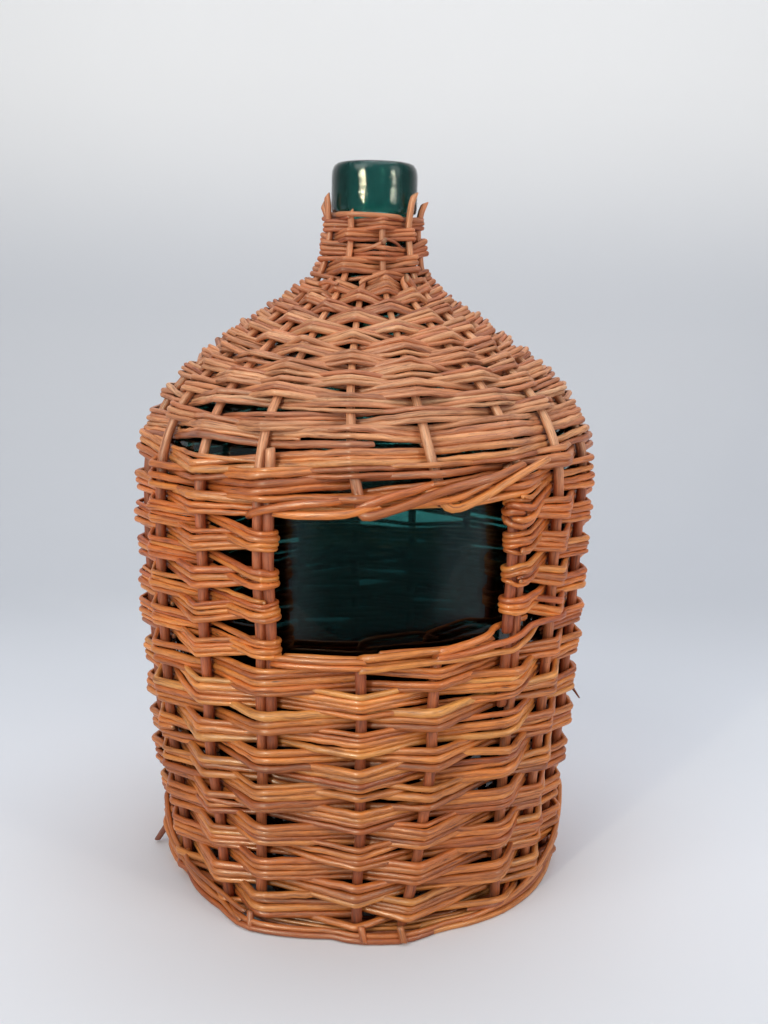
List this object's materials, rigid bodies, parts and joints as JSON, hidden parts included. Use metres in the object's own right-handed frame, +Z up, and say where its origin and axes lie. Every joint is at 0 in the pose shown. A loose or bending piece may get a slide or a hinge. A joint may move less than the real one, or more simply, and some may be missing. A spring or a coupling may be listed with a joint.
{
  "type": "wicker demijohn",
  "caption": "Green glass demijohn in a woven willow basket with a window that shows the glass; stands upright and holds liquid.",
  "frame": {"origin": "on the floor, under the middle of the basket", "axes": "+Z up through the mouth, -Y towards the window, +X to the right seen from the window side"},
  "size_m": [0.2614, 0.262, 0.4],
  "materials": {
    "green_glass": "dark blue-green blown glass, slightly pebbled gloss",
    "stake_willow": "varnished willow sticks, reddish brown, satin",
    "weave_willow": "varnished willow rods, honey brown with darker streaks, satin",
    "shoulder_willow": "varnished willow rods, paler tan, satin",
    "base_willow": "willow sticks, dull brown"
  },
  "bodies": {
    "root": {"base_stick_cross1": "base_willow", "base_stick_cross2": "base_willow", "base_stick_long1": "base_willow", "base_stick_long2": "base_willow", "base_stick_long3": "base_willow", "base_weaver_1": "base_willow", "base_weaver_2": "base_willow", "foot_border": "weave_willow", "glass_bottle": "green_glass", "lower_weave": "weave_willow", "neck_weave": "shoulder_willow", "shoulder_weave": "shoulder_willow", "stake_01": "stake_willow", "stake_02": "stake_willow", "stake_03": "stake_willow", "stake_04_lower": "stake_willow", "stake_04_upper": "stake_willow", "stake_05_lower": "stake_willow", "stake_05_upper": "stake_willow", "stake_06": "stake_willow", "stake_07": "stake_willow", "stake_08": "stake_willow", "stake_09": "stake_willow", "stake_10": "stake_willow", "stake_11": "stake_willow", "stake_12": "stake_willow", "stake_13": "stake_willow", "stake_14": "stake_willow", "stake_15": "stake_willow", "stake_16": "stake_willow", "stake_17": "stake_willow", "stake_18": "stake_willow", "stake_19": "stake_willow", "upper_weave": "weave_willow", "window_head_rod_inner": "weave_willow", "window_head_rod_outer": "weave_willow", "window_post_left": "stake_willow", "window_post_right": "stake_willow", "window_sill_rod_inner": "weave_willow", "window_sill_rod_outer": "weave_willow", "window_weave": "weave_willow"}
  },
  "joints": []
}
